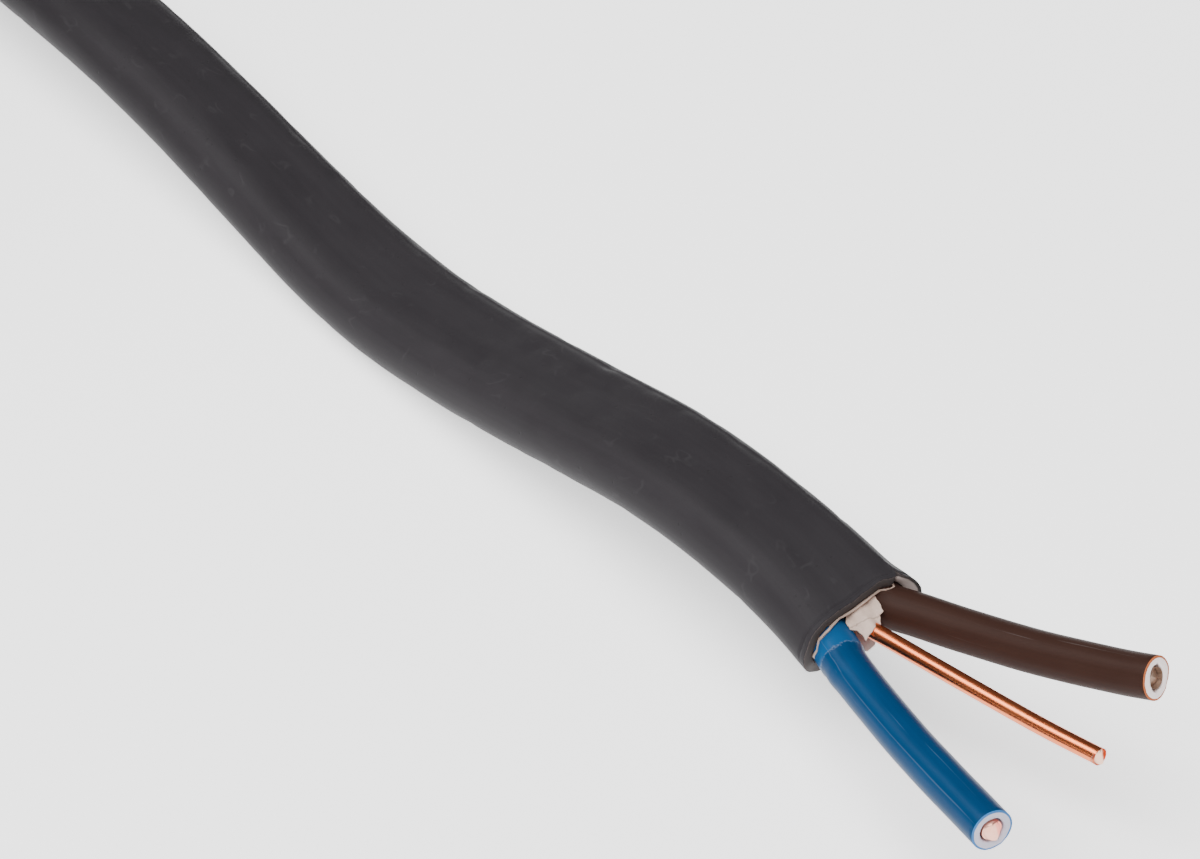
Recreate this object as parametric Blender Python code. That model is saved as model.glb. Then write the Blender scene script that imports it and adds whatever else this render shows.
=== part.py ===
"""Coil of flat twin and earth cable, lying on its side, with its stripped end free.

The cable holds two insulated solid copper cores with a bare earth wire between them,
in a thin liner and a flat oval sheath. Its end lies flat on the floor in the wave that
the coil left in it, and the rest is wound on edge in one round coil held by nylon ties.
"""

import math

import bmesh
import bpy
from mathutils import Matrix, Vector

MM = 0.001

# Cable section
wire_diameter = 1.38 * MM
insulation_wall = 0.74 * MM
earth_diameter = 1.13 * MM
bedding_wall = 0.12 * MM
sheath_wall = 0.78 * MM
layer_clearance = 0.05 * MM

# Coil
rows = 5
layers = 4
turn_gap = 0.35 * MM
coil_mean_radius = 38.7 * MM
coil_steps = 60
groove_depth = 1.0 * MM

# Coil ties
tie_count = 3
tie_width = 2.5 * MM
tie_thickness = 1.0 * MM
tie_clearance = 0.3 * MM
tie_floor_gap = 0.1 * MM
tie_corner_radius = 2.4 * MM
tie_first_step = 2.5
tie_head_height = 5.0 * MM
tie_head_width = 4.6 * MM
tie_head_depth = 3.2 * MM
tie_tail_length = 3.5 * MM

# Between the coil's side and the cable that leaves it
peel_clearance = 0.3 * MM

# Stripped end
bored_length = 90.0 * MM
mouth_slant = math.radians(6)
bedding_show = 0.25 * MM
brown_straight = 0.15 * MM
earth_straight = 0.4 * MM
blue_straight = 0.65 * MM
wire_recess = 0.25 * MM
blue_wire_show = 0.1 * MM
bore_end_gap = 0.3 * MM
station_spacing = 4.2 * MM
arc_segments = 8
flat_segments = 3
core_sides = 12
wire_sides = 8

# Sizes that follow from the section
core_radius = wire_diameter / 2 + insulation_wall
core_offset = earth_diameter / 2 + core_radius + layer_clearance
bedding_bore = core_radius + layer_clearance
bedding_outside = bedding_bore + bedding_wall
sheath_bore = bedding_outside + layer_clearance
half_thickness = sheath_bore + sheath_wall
half_width = core_offset + half_thickness

# Sizes that follow from the coil
row_pitch = 2 * half_width + turn_gap
layer_pitch = 2 * half_thickness + turn_gap
coil_height = rows * row_pitch - turn_gap
coil_build = layers * layer_pitch - turn_gap
coil_outer_radius = coil_mean_radius + coil_build / 2
outer_layer_radius = coil_outer_radius - half_thickness
tie_pinch = tie_thickness + tie_clearance + tie_floor_gap

# The free cable's centreline, from where it leaves the coil to the mouth: x from the coil's
# axis, how far outside the outer layer's line it runs, its height, in mm, and the roll of the
# flat section in degrees. It leaves the coil on edge, turns flat, and waves up and down.
cable_route = (
    (8.4, 0.0, 4.54, -90),
    (20.9, 0.1, 4.56, -86),
    (33.4, 0.3, 4.60, -70),
    (46.0, 0.4, 4.81, -48),
    (57.5, 0.4, 5.22, -27),
    (67.9, 0.3, 6.06, -12),
    (74.7, 0.3, 5.85, -10),
    (82.1, 0.3, 5.12, -10),
    (89.9, 0.3, 3.99, -7),
    (97.4, 0.3, 2.93, 0),
    (103.0, 0.3, 2.63, 4),
    (108.3, 0.3, 2.82, 5),
    (115.6, 0.3, 3.87, 5),
    (122.4, 0.3, 5.22, 5),
    (129.2, 0.3, 6.69, 5),
    (135.7, 0.3, 8.05, 3),
    (142.2, 0.3, 8.78, 0),
    (148.5, 0.3, 8.86, 0),
    (153.1, 0.3, 8.49, 4),
    (156.8, 0.1, 8.05, 9),
)

# Where each core goes past the mouth, in the same three measures
brown_route = (
    (158.9, 3.4, 8.74),
    (162.2, 4.7, 8.97),
    (167.2, 6.2, 9.89),
    (172.7, 7.9, 11.27),
    (175.3, 8.7, 12.08),
)
earth_route = (
    (160.6, 0.6, 8.68),
    (165.7, 1.3, 8.95),
    (172.2, 2.1, 9.47),
    (177.1, 2.8, 9.98),
)
blue_route = (
    (160.4, -2.8, 7.59),
    (166.2, -3.9, 7.69),
    (171.0, -4.7, 7.97),
    (177.0, -5.6, 8.41),
)


def clear_scene():
    for obj in list(bpy.data.objects):
        bpy.data.objects.remove(obj, do_unlink=True)


def plastic_or_metal(name, color, roughness, metallic=0.0):
    material = bpy.data.materials.new(name)
    material.use_nodes = True
    shader = material.node_tree.nodes["Principled BSDF"]
    shader.inputs["Base Color"].default_value = (*color, 1)
    shader.inputs["Roughness"].default_value = roughness
    shader.inputs["Metallic"].default_value = metallic
    return material


def new_object(name, bm, material, frame):
    """An object with the bmesh's faces, placed in the frame of the coil's centre."""
    bmesh.ops.recalc_face_normals(bm, faces=bm.faces)
    mesh = bpy.data.meshes.new(name)
    bm.to_mesh(mesh)
    bm.free()
    mesh.materials.append(material)
    mesh.shade_smooth()
    mesh.set_sharp_from_angle(angle=math.radians(40))
    obj = bpy.data.objects.new(name, mesh)
    bpy.context.scene.collection.objects.link(obj)
    obj.parent = frame
    return obj


def blend(a, b, c, d, t):
    """The point at t between b and c on a smooth curve through all four."""
    return 0.5 * (
        2 * b + (c - a) * t + (2 * a - 5 * b + 4 * c - d) * t**2 + (3 * b - a - 3 * c + d) * t**3
    )


def curve_through(points, steps):
    """Points along a smooth curve through the given ones, with so many steps to each span."""
    ends = [2 * points[0] - points[1], *points, 2 * points[-1] - points[-2]]
    found = []
    for i in range(len(points) - 1):
        for step in range(steps):
            found.append(blend(*ends[i : i + 4], step / steps))
    return found + [points[-1]]


def along(points, distances):
    """The points at these distances along a line of points, whose first three numbers are its place."""
    found = []
    travelled = 0.0
    span = 0
    length = (points[1].xyz - points[0].xyz).length
    for distance in distances:
        while distance > travelled + length and span < len(points) - 2:
            travelled += length
            span += 1
            length = (points[span + 1].xyz - points[span].xyz).length
        found.append(points[span].lerp(points[span + 1], (distance - travelled) / length))
    return found


def line_length(points):
    return sum((b.xyz - a.xyz).length for a, b in zip(points, points[1:]))


def section_frame(place, direction, roll):
    """Columns: the section's wide side, its thin side, and the way that the cable runs."""
    left = Vector((0, 0, 1)).cross(direction).normalized()
    up = direction.cross(left)
    wide = left * math.cos(roll) + up * math.sin(roll)
    thin = up * math.cos(roll) - left * math.sin(roll)
    turned = Matrix((wide, thin, direction)).transposed().to_4x4()
    return Matrix.Translation(place) @ turned


def placed(x, outside, height):
    """A route's point, from its distances in mm."""
    return Vector((x * MM, outer_layer_radius + outside * MM, height * MM))


def cable_frames():
    """Section frames from the coil to the mouth, and how many of them lie in the hidden stretch."""
    route = [Vector((*placed(*place), math.radians(roll))) for *place, roll in cable_route]
    fine = curve_through(route, 12)
    total = line_length(fine)
    hidden = max(2, round((total - bored_length) / (1.5 * station_spacing)))
    seen = max(2, round(bored_length / station_spacing))
    distances = [(total - bored_length) * i / hidden for i in range(hidden)]
    distances += [total - bored_length + bored_length * i / seen for i in range(seen + 1)]
    places = along(fine, distances)
    frames = []
    for i, place in enumerate(places):
        before = places[max(i - 1, 0)].xyz
        after = places[min(i + 1, len(places) - 1)].xyz
        frames.append(section_frame(place.xyz, (after - before).normalized(), place.w))
    return frames, hidden


def stadium(radius, is_bore=False):
    """A flat oval's outline: two round ends of this radius, about the cores' centres. A bore's
    corners lie further out, so that its faces clear what is inside."""
    if is_bore:
        radius /= math.cos(math.pi / 2 / arc_segments)
    points = []
    for side in (1, -1):
        for i in range(arc_segments + 1):
            angle = -math.pi / 2 + math.pi * i / arc_segments
            points.append(side * Vector((core_offset + radius * math.cos(angle), radius * math.sin(angle), 0)))
        last = points[-1]
        first_next = Vector((-last.x, last.y, 0))
        for i in range(1, flat_segments):
            points.append(last.lerp(first_next, i / flat_segments))
    return points


def circle(radius, sides, is_bore=False):
    if is_bore:
        radius /= math.cos(math.pi / sides)
    angles = [2 * math.pi * (i + 0.5) / sides for i in range(sides)]
    return [Vector((radius * math.cos(a), radius * math.sin(a), 0)) for a in angles]


def add_loop(bm, frame, outline, slant=0.0):
    """A loop of points in a section frame, the last one slanted as the mouth is cut."""
    return [bm.verts.new(frame @ (point + Vector((0, 0, -slant * point.x)))) for point in outline]


def skin(bm, loops):
    """Faces between each loop of points and the next."""
    for first, second in zip(loops, loops[1:]):
        for i in range(len(first)):
            j = (i + 1) % len(first)
            bm.faces.new((first[i], first[j], second[j], second[i]))


def hollow_sweep(outer_loops, inner_loops, bm):
    """A tube: its outside, its bore, and the ring-shaped faces at both ends."""
    skin(bm, outer_loops)
    skin(bm, inner_loops)
    skin(bm, [outer_loops[0], inner_loops[0]])
    skin(bm, [outer_loops[-1], inner_loops[-1]])


def make_sheath(frames, hidden, frame):
    """The sheath, bored for its cores along the stretch that shows, and solid where it is hidden."""
    bm = bmesh.new()
    outside = stadium(half_thickness)
    bore = stadium(sheath_bore, is_bore=True)
    slant = math.tan(mouth_slant)
    slants = [0.0] * (len(frames) - 1) + [slant]
    outer_loops = [add_loop(bm, f, outside, s) for f, s in zip(frames, slants)]
    inner_loops = [add_loop(bm, f, bore, s) for f, s in zip(frames[hidden:], slants[hidden:])]
    skin(bm, outer_loops)
    skin(bm, inner_loops)
    bm.faces.new(outer_loops[0])
    bm.faces.new(inner_loops[0])
    skin(bm, [outer_loops[-1], inner_loops[-1]])
    grey = plastic_or_metal("sheath_grey", (0.055, 0.052, 0.055), 0.5)
    sheath = new_object("sheath", bm, grey, frame)

    # Where the cable leaves the coil, its start is cut to the coil's round side
    coil_side = bmesh.new()
    sides = 2 * coil_steps
    bmesh.ops.create_cone(
        coil_side,
        cap_ends=True,
        segments=sides,
        radius1=(coil_outer_radius + peel_clearance) / math.cos(math.pi / sides),
        radius2=(coil_outer_radius + peel_clearance) / math.cos(math.pi / sides),
        depth=2 * coil_height,
    )
    cutter = new_object("coil_side_shape", coil_side, grey, frame)
    cutter.hide_render = True
    cutter.display_type = "WIRE"
    cut = sheath.modifiers.new("cut to the coil", "BOOLEAN")
    cut.object = cutter


def make_bedding(frames, frame):
    """The thin liner, which shows a little past the mouth."""
    bm = bmesh.new()
    last = frames[-1] @ Matrix.Translation((0, 0, bedding_show))
    stations = frames[:-1] + [last]
    slants = [0.0] * (len(frames) - 1) + [math.tan(mouth_slant)]
    outer_loops = [add_loop(bm, f, stadium(bedding_outside), s) for f, s in zip(stations, slants)]
    bore = stadium(bedding_bore, is_bore=True)
    inner_loops = [add_loop(bm, f, bore, s) for f, s in zip(stations, slants)]
    hollow_sweep(outer_loops, inner_loops, bm)
    white = plastic_or_metal("bedding_white", (0.72, 0.66, 0.62), 0.7)
    new_object("bedding", bm, white, frame)


def core_frames(frames, offset, straight, route):
    """Frames along one core: beside the cable's centreline inside, then along its own route."""
    shift = Matrix.Translation((offset, 0, 0))
    inside = [f @ shift for f in frames]
    inside.append(inside[-1] @ Matrix.Translation((0, 0, straight)))
    free = [placed(*point) for point in route]
    fine = curve_through([inside[-1].translation] + free, 3)
    # The first span starts the way that the cable runs
    lead = inside[-1].col[2].xyz * (fine[3] - fine[0]).length
    ends = [fine[3] - 2 * lead, fine[0], fine[3], free[1]]
    fine[1:3] = [blend(*ends, 1 / 3), blend(*ends, 2 / 3)]
    wide = inside[-1].col[0].xyz
    outside = []
    for i in range(1, len(fine)):
        ahead = fine[min(i + 1, len(fine) - 1)]
        direction = (ahead - fine[i - 1]).normalized()
        wide = (wide - direction * wide.dot(direction)).normalized()
        turned = Matrix((wide, direction.cross(wide), direction)).transposed().to_4x4()
        outside.append(Matrix.Translation(fine[i]) @ turned)
    return inside[:-2] + [inside[-1]] + outside


def make_insulation(name, frames, color, frame):
    bm = bmesh.new()
    outer_loops = [add_loop(bm, f, circle(core_radius, core_sides)) for f in frames]
    bore = circle(wire_diameter / 2 + layer_clearance, core_sides, is_bore=True)
    inner_loops = [add_loop(bm, f, bore) for f in frames]
    hollow_sweep(outer_loops, inner_loops, bm)
    new_object(name, bm, plastic_or_metal(name, color, 0.42), frame)


def make_wire(name, frames, diameter, past_end, color, frame):
    bm = bmesh.new()
    last = frames[-1] @ Matrix.Translation((0, 0, past_end))
    loops = [add_loop(bm, f, circle(diameter / 2, wire_sides)) for f in frames[:-1] + [last]]
    skin(bm, loops)
    bm.faces.new(loops[0])
    bm.faces.new(loops[-1])
    new_object(name, bm, plastic_or_metal(name, color, 0.25, metallic=1.0), frame)


def coil_profile():
    """The wound bundle's outline, radius and height: each layer's edge shows as a rounded ridge
    on the two ends, and each row's flat side shows as a band round the outside and the bore."""
    crest = half_thickness * math.tan(math.pi / 8)
    flat = core_offset
    groove_up = coil_height - groove_depth
    across = [-coil_build / 2 + half_thickness + layer_pitch * i for i in range(layers)]
    heights = [half_width + row_pitch * i for i in range(rows)]
    points = []
    for i, z in enumerate(heights):
        if i:
            points.append((coil_build / 2 - groove_depth, z - row_pitch / 2))
        points += [(coil_build / 2, z - flat), (coil_build / 2, z + flat)]
    for i, r in enumerate(reversed(across)):
        if i:
            points.append((r + layer_pitch / 2, groove_up))
        points += [(r + crest, coil_height), (r - crest, coil_height)]
    for i, z in enumerate(reversed(heights)):
        if i:
            points.append((groove_depth - coil_build / 2, z + row_pitch / 2))
        points += [(-coil_build / 2, z + flat), (-coil_build / 2, z - flat)]
    for i, r in enumerate(across):
        if i:
            points.append((r - layer_pitch / 2, groove_depth))
        points += [(r - crest, 0), (r + crest, 0)]
    return points


def tie_angles():
    step = 2 * math.pi / coil_steps
    return [step * tie_first_step + 2 * math.pi * i / tie_count for i in range(tie_count)]


def make_coil(frame):
    """The wound bundle, turned about the coil's axis and pulled in where each tie holds it."""
    bm = bmesh.new()
    verts = [bm.verts.new((coil_mean_radius + r, 0, z)) for r, z in coil_profile()]
    edges = [bm.edges.new((a, b)) for a, b in zip(verts, verts[1:] + verts[:1])]
    bmesh.ops.spin(
        bm,
        geom=verts + edges,
        cent=(0, 0, 0),
        axis=(0, 0, 1),
        angle=2 * math.pi,
        steps=coil_steps,
        use_merge=True,
    )
    middle = coil_height / 2
    shrink_across = 1 - tie_pinch / (coil_build / 2)
    shrink_up = 1 - tie_pinch / middle
    for vert in bm.verts:
        angle = math.atan2(vert.co.y, vert.co.x)
        away = min(abs(math.remainder(angle - tie, 2 * math.pi)) for tie in tie_angles())
        if away > 1.1 * math.pi / coil_steps:
            continue
        radius = vert.co.xy.length
        pulled = coil_mean_radius + (radius - coil_mean_radius) * shrink_across
        vert.co.xy *= pulled / radius
        vert.co.z = middle + (vert.co.z - middle) * shrink_up
    grey = plastic_or_metal("coil_grey", (0.055, 0.052, 0.055), 0.5)
    new_object("cable_coil", bm, grey, frame)


def rounded_box_outline(half_across, half_up, radius):
    points = []
    for quarter in range(4):
        sign_x = 1 if quarter in (0, 3) else -1
        sign_z = 1 if quarter in (0, 1) else -1
        corner = Vector((sign_x * (half_across - radius), 0, sign_z * (half_up - radius)))
        for i in range(4):
            angle = math.pi / 2 * (quarter + i / 3)
            points.append(corner + Vector((radius * math.cos(angle), 0, radius * math.sin(angle))))
    return points


def make_tie(name, angle, material, frame):
    """A nylon tie pulled round the bundle, with its head and its cut tail on the outer side."""
    bm = bmesh.new()
    half_across = coil_build / 2 - tie_pinch + tie_clearance
    half_up = coil_height / 2 - tie_pinch + tie_clearance
    loops = []
    for grown in (0.0, tie_thickness):
        outline = rounded_box_outline(half_across + grown, half_up + grown, tie_corner_radius + grown)
        verts = [bm.verts.new(point - Vector((0, tie_width / 2, 0))) for point in outline]
        loops += [bm.edges.new((a, b)) for a, b in zip(verts, verts[1:] + verts[:1])]
    bmesh.ops.bridge_loops(bm, edges=loops)
    swept = bmesh.ops.extrude_face_region(bm, geom=bm.faces[:])
    moved = [item for item in swept["geom"] if isinstance(item, bmesh.types.BMVert)]
    bmesh.ops.translate(bm, verts=moved, vec=(0, tie_width, 0))
    place = Matrix.Rotation(angle, 4, "Z") @ Matrix.Translation((coil_mean_radius, 0, coil_height / 2))
    band_outside = half_across + tie_thickness
    bmesh.ops.transform(bm, matrix=place, verts=bm.verts)
    band = new_object(name, bm, material, frame)

    head = bmesh.new()
    size = Matrix.Diagonal((tie_head_depth, tie_head_width, tie_head_height, 1))
    middle = band_outside - tie_thickness / 2 + tie_head_depth / 2
    bmesh.ops.create_cube(head, size=1, matrix=place @ Matrix.Translation((middle, 0, 0)) @ size)
    tail_size = Matrix.Diagonal((tie_thickness, tie_width * 0.9, tie_head_height + 2 * tie_tail_length, 1))
    tail_place = Matrix.Translation((middle, 0, 0))
    tail = bmesh.new()
    bmesh.ops.create_cube(tail, size=1, matrix=place @ tail_place @ tail_size)
    for label, shape in (("head", head), ("tail", tail)):
        helper = new_object(f"{name}_{label}_shape", shape, material, frame)
        helper.hide_render = True
        helper.display_type = "WIRE"
        union = band.modifiers.new(f"{label} joined", "BOOLEAN")
        union.operation = "UNION"
        union.object = helper


def place_on_floor_centre(frame):
    """Moves the frame so that the object's box is centred over the origin."""
    bpy.context.view_layer.update()
    corners = []
    for obj in frame.children:
        if not obj.hide_render:
            corners += [obj.matrix_world @ vert.co for vert in obj.data.vertices]
    for axis in range(2):
        values = [corner[axis] for corner in corners]
        frame.location[axis] = -(min(values) + max(values)) / 2


def main():
    clear_scene()
    frame = bpy.data.objects.new("coil_centre", None)
    bpy.context.scene.collection.objects.link(frame)

    frames, hidden = cable_frames()
    seen = frames[hidden:]
    make_sheath(frames, hidden, frame)
    inner = [seen[0] @ Matrix.Translation((0, 0, bore_end_gap))] + seen[1:]
    make_bedding(inner, frame)
    brown = core_frames(inner, core_offset, brown_straight, brown_route)
    blue = core_frames(inner, -core_offset, blue_straight, blue_route)
    earth = core_frames(inner, 0.0, earth_straight, earth_route)
    make_insulation("brown_insulation", brown, (0.085, 0.032, 0.022), frame)
    make_insulation("blue_insulation", blue, (0.003, 0.07, 0.2), frame)
    copper = (0.82, 0.42, 0.28)
    make_wire("brown_conductor", brown, wire_diameter, -wire_recess, copper, frame)
    make_wire("blue_conductor", blue, wire_diameter, blue_wire_show, copper, frame)
    make_wire("earth_conductor", earth, earth_diameter, 0.0, copper, frame)

    make_coil(frame)
    nylon = plastic_or_metal("tie_nylon", (0.75, 0.74, 0.7), 0.45)
    for number, angle in enumerate(tie_angles(), start=1):
        make_tie(f"coil_tie_{number}", angle, nylon, frame)

    place_on_floor_centre(frame)


main()
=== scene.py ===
"""The looks of a coil of flat twin and earth cable: grey sheath, stripped cores and nylon ties."""

import math

import bmesh
import bpy
from mathutils import Matrix, Vector, noise


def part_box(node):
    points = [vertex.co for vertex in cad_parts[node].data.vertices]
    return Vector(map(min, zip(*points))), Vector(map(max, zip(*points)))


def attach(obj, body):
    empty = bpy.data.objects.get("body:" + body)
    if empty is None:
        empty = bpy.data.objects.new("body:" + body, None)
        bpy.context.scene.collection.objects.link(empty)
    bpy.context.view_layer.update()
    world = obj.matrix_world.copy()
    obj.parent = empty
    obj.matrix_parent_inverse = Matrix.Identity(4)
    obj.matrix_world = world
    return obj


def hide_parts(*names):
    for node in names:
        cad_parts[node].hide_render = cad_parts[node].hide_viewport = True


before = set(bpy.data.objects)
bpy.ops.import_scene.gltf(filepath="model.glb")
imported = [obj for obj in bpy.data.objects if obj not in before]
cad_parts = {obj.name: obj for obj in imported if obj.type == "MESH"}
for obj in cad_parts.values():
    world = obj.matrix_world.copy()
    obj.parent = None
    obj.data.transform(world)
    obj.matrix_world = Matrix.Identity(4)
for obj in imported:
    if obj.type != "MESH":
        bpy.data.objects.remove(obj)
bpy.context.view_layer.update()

# The camera looks down on the stripped end from about 0.4 m away, through a long lens. The
# coil lies past the picture's far corner, where the photograph stops, so none of it shows.
MM = 0.001
half_thickness = 2.43 * MM
picture_width = 1200
lens_in_pixels = 5991
camera_distance = 397.1 * MM
camera_azimuth = math.radians(-36.535)
camera_elevation = math.radians(38)

coil_low, coil_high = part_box("cable_coil")
coil_axis = (coil_low + coil_high) / 2
outer_layer_radius = (coil_high.x - coil_low.x) / 2 - half_thickness


def beside_coil(x, outside, height):
    """A place in the frame: mm from the coil's axis, mm outside its outer layer, and mm up."""
    return Vector((coil_axis.x + x * MM, coil_axis.y + outer_layer_radius + outside * MM, height * MM))


looked_at = beside_coil(129.16, 0.31, 6.41)
towards_camera = Vector(
    (
        math.cos(camera_elevation) * math.cos(camera_azimuth),
        math.cos(camera_elevation) * math.sin(camera_azimuth),
        math.sin(camera_elevation),
    )
)
camera = bpy.data.objects.new("camera", bpy.data.cameras.new("camera"))
camera.data.sensor_fit = "HORIZONTAL"
camera.data.lens = camera.data.sensor_width * lens_in_pixels / picture_width
camera.data.clip_start = 0.01
camera.location = looked_at + camera_distance * towards_camera
camera.rotation_euler = towards_camera.to_track_quat("Z", "Y").to_euler()
bpy.context.scene.collection.objects.link(camera)
bpy.context.scene.camera = camera

# A soft box hangs over the cable, and a smaller light stands at the camera's left. The cable
# lies on a light table, which takes away its shadow. The room is dim, so bright copper shows
# dark stripes between the lights.
world = bpy.data.worlds.new("studio")
world.use_nodes = True
room = world.node_tree.nodes["Background"].inputs
room["Color"].default_value = (0.9, 0.95, 1.0, 1)
room["Strength"].default_value = 0.12
bpy.context.scene.world = world
lit_place = Vector((0.07, 0.05, 0))


def soft_light(name, place, width, depth, power):
    """A rectangular light that faces the free end of the cable."""
    light = bpy.data.objects.new(name, bpy.data.lights.new(name, "AREA"))
    light.data.shape = "RECTANGLE"
    light.data.size = width
    light.data.size_y = depth
    light.data.energy = power
    light.location = place
    light.rotation_euler = (Vector(place) - lit_place).to_track_quat("Z", "Y").to_euler()
    bpy.context.scene.collection.objects.link(light)


soft_light("soft_box", place=(0.2, -0.25, 0.8), width=0.9, depth=0.9, power=17)
soft_light("strip_light", place=(-0.45, -0.32, 0.62), width=0.45, depth=0.34, power=3.5)

floor_reach = 6
floor_clearance = 0.02 * MM
floor_mesh = bpy.data.meshes.new("floor")
floor_shape = bmesh.new()
bmesh.ops.create_grid(floor_shape, x_segments=1, y_segments=1, size=floor_reach)
bmesh.ops.translate(floor_shape, verts=floor_shape.verts, vec=(0, 0, -floor_clearance))
floor_shape.to_mesh(floor_mesh)
floor_shape.free()
floor = bpy.data.objects.new("floor", floor_mesh)
bpy.context.scene.collection.objects.link(floor)
floor_white = bpy.data.materials.new("floor_white")
floor_white.use_nodes = True
table_top = floor_white.node_tree.nodes["Principled BSDF"].inputs
table_top["Base Color"].default_value = (0.93, 0.93, 0.93, 1)
table_top["Roughness"].default_value = 0.9
table_top["Specular IOR Level"].default_value = 0.1
table_top["Emission Color"].default_value = (1, 1, 1, 1)
table_top["Emission Strength"].default_value = 1.1
floor_mesh.materials.append(floor_white)

# The cable: a flat oval sheath of soft dark grey PVC, extruded over the cores in one run. Its
# free end keeps the wave that the coil gave it, and the rest is wound on edge, in four layers
# of five turns. The stripping knife went round it at the mouth and left a leaf at one corner.
wire_diameter = 1.38 * MM
insulation_wall = 0.74 * MM
earth_diameter = 1.13 * MM
liner_wall = 0.12 * MM
sheath_wall = 0.78 * MM
layer_clearance = 0.05 * MM
core_radius = wire_diameter / 2 + insulation_wall
core_offset = earth_diameter / 2 + core_radius + layer_clearance
half_width = core_offset + half_thickness
sheath_bore = half_thickness - sheath_wall
rows = 5
layers = 4
turn_gap = 0.35 * MM
row_pitch = 2 * half_width + turn_gap
layer_pitch = 2 * half_thickness + turn_gap
coil_mean_radius = outer_layer_radius - layer_pitch * (layers - 1) / 2
inner_end_angle = 150
on_edge = math.radians(-90)
bored_length = 90 * MM

# The free end's middle line, in the wave that the photograph shows: mm from the coil's axis,
# mm outside its outer layer, mm up, and the section's roll in degrees
cable_route = (
    (8.4, 0.0, 4.54, -90),
    (20.9, 0.1, 4.56, -86),
    (33.4, 0.3, 4.60, -70),
    (46.0, 0.4, 4.81, -48),
    (57.5, 0.4, 5.22, -27),
    (67.9, 0.3, 6.06, -12),
    (74.7, 0.3, 5.85, -10),
    (82.1, 0.3, 5.12, -10),
    (89.9, 0.3, 3.99, -7),
    (97.4, 0.3, 2.93, 0),
    (103.0, 0.3, 2.63, 4),
    (108.3, 0.3, 2.82, 5),
    (115.6, 0.3, 3.87, 5),
    (122.4, 0.3, 5.22, 5),
    (129.2, 0.3, 6.69, 5),
    (135.7, 0.3, 8.05, 3),
    (142.2, 0.3, 8.78, 0),
    (148.5, 0.3, 8.86, 0),
    (153.1, 0.3, 8.49, 4),
    (156.8, 0.1, 8.05, 9),
)
tie_angles = [math.radians(angle) for angle in (15, 135, 255)]
tie_reach = math.radians(14)
tie_lift = 1.12 * MM
gap_at_tie = 0.03 * MM
tie_closing = turn_gap - gap_at_tie


def eased(t):
    """From 0 to 1, picking up and losing speed over the first and last fifth of the way."""
    t = min(max(t, 0), 1)
    ease = 0.2
    speed = 1 / (1 - ease)
    if t < ease:
        return speed * t * t / (2 * ease)
    if t > 1 - ease:
        return 1 - speed * (1 - t) ** 2 / (2 * ease)
    return speed * (t - ease / 2)


def winding():
    """Where each climb of the winding starts, in degrees of travel: a row's, or a layer's.

    The turns of one layer all climb at the same side of the coil, and each next layer's climbs
    come one after the other round it, so that no turn meets another."""
    row_climb = 55
    layer_climb = 25
    leaving_side = inner_end_angle - 90
    climbs = []
    travel = 0
    for layer in range(layers):
        row_side = 360 - row_climb - layer * (row_climb + layer_climb)
        layer_side = (row_side - layer_climb) % 360
        for _ in range(rows - 1):
            start = travel + (row_side - travel) % 360
            climbs.append((start, row_climb, 1 if layer % 2 == 0 else -1, 0))
            travel = start + row_climb
        start = travel + (layer_side - travel) % 360
        if layer < layers - 1:
            climbs.append((start, layer_climb, 0, 1))
            travel = start + layer_climb
        else:
            travel += (leaving_side - travel) % 360
    return climbs, travel


def place_in_coil(degrees, climbs):
    """The cable's centre after so many degrees of the winding, squeezed together near a tie."""
    row = sum(up * eased((degrees - start) / width) for start, width, up, _ in climbs)
    layer = sum(out * eased((degrees - start) / width) for start, width, _, out in climbs)
    angle = math.radians(inner_end_angle - degrees)
    from_middle = layer - (layers - 1) / 2
    radius = coil_mean_radius + layer_pitch * from_middle
    height = half_width + row_pitch * row
    away = min(abs(math.remainder(angle - tie, 2 * math.pi)) for tie in tie_angles)
    if away < tie_reach:
        held = 0.5 + 0.5 * math.cos(math.pi * away / tie_reach)
        radius -= held * tie_closing * from_middle
        height += held * (tie_lift - tie_closing * row)
    return Vector((coil_axis.x + radius * math.cos(angle), coil_axis.y + radius * math.sin(angle), height))


def blend(a, b, c, d, t):
    """The point at t between b and c on a smooth curve through all four."""
    return 0.5 * (
        2 * b + (c - a) * t + (2 * a - 5 * b + 4 * c - d) * t**2 + (3 * b - a - 3 * c + d) * t**3
    )


def curve_through(points, steps):
    """A smooth line through all the points, with so many steps from each to the next."""
    ends = [2 * points[0] - points[1], *points, 2 * points[-1] - points[-2]]
    found = []
    for i in range(len(points) - 1):
        for step in range(steps):
            found.append(blend(*ends[i : i + 4], step / steps))
    return found + [points[-1]]


def along(points, distances):
    """The points at these distances along a line of points, whose first three numbers are its place."""
    found = []
    travelled = 0.0
    span = 0
    length = (points[1].xyz - points[0].xyz).length
    for distance in distances:
        while distance > travelled + length and span < len(points) - 2:
            travelled += length
            span += 1
            length = (points[span + 1].xyz - points[span].xyz).length
        found.append(points[span].lerp(points[span + 1], (distance - travelled) / length))
    return found


def line_length(points):
    """How long a line of points is, whose first three numbers are its place."""
    return sum((b.xyz - a.xyz).length for a, b in zip(points, points[1:]))


def section_frame(place, direction, roll):
    """Columns: the section's wide side, its thin side, and the way that the cable runs."""
    left = Vector((0, 0, 1)).cross(direction).normalized()
    up = direction.cross(left)
    wide = left * math.cos(roll) + up * math.sin(roll)
    thin = up * math.cos(roll) - left * math.sin(roll)
    turned = Matrix((wide, thin, direction)).transposed().to_4x4()
    return Matrix.Translation(place) @ turned


def frames_along(places):
    """A section frame at each place, whose fourth number is the roll."""
    frames = []
    for i, place in enumerate(places):
        before = places[max(i - 1, 0)].xyz
        after = places[min(i + 1, len(places) - 1)].xyz
        frames.append(section_frame(place.xyz, (after - before).normalized(), place.w))
    return frames


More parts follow.
